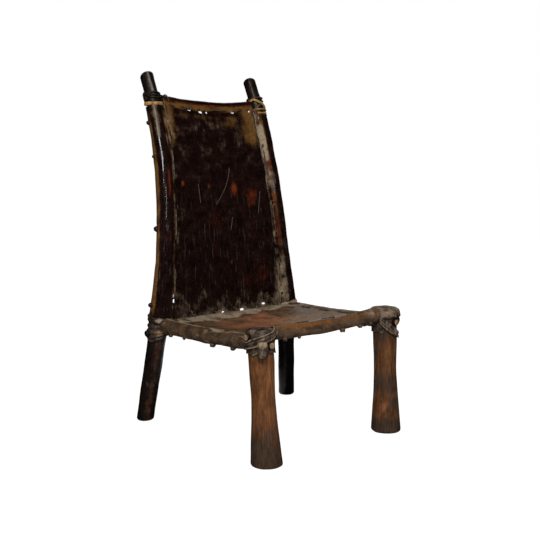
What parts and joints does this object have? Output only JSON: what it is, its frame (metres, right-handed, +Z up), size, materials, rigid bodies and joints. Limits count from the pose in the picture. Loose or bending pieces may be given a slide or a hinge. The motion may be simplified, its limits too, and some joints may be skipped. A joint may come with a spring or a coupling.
{
  "type": "ethiopian low chair",
  "caption": "Low chair of crooked wooden posts, waisted front legs and round rails, with a rawhide back and seat folded round the frame as sleeves and sewn with thongs.",
  "frame": {"origin": "on the floor, under the middle of the chair's outline in plan", "axes": "+Z up, -Y towards the front of the seat, +X to the right as seen from the front"},
  "size_m": [0.4849, 0.5596, 0.8738],
  "materials": {
    "dark_polished_wood": "near-black, hand-polished by use",
    "warm_brown_wood": "orange-brown with dark streaks, satin",
    "dark_rawhide": "near-black, glossy, scratched",
    "brown_rawhide": "red-brown, worn, dusty at the edges",
    "grey_brown_rawhide": "grey-brown, creased, matt",
    "tan_thong": "tan, dry"
  },
  "bodies": {
    "root": {"rear_post_left": "dark_polished_wood", "rear_post_right": "dark_polished_wood", "back_top_rail": "dark_polished_wood", "seat_rail_front": "dark_polished_wood", "seat_rail_left": "dark_polished_wood", "seat_rail_right": "dark_polished_wood", "seat_rail_rear": "dark_polished_wood", "front_leg_left": "warm_brown_wood", "front_leg_right": "warm_brown_wood", "back_hide": "dark_rawhide", "seat_hide": "brown_rawhide", "front_corner_cap_left": "grey_brown_rawhide", "front_corner_cap_right": "grey_brown_rawhide", "front_corner_roll_left": "grey_brown_rawhide", "front_corner_strap_left": "grey_brown_rawhide", "front_corner_strap_right": "grey_brown_rawhide", "rear_corner_cuff_left": "grey_brown_rawhide", "rear_corner_cuff_right": "grey_brown_rawhide", "back_thong_left": "tan_thong", "back_thong_right": "tan_thong", "back_thong_top": "tan_thong", "rear_lacing": "tan_thong", "seat_thong_front": "tan_thong", "seat_thong_left": "tan_thong", "seat_thong_right": "tan_thong", "top_lashing_left": "tan_thong", "top_lashing_right": "tan_thong"}
  },
  "joints": []
}
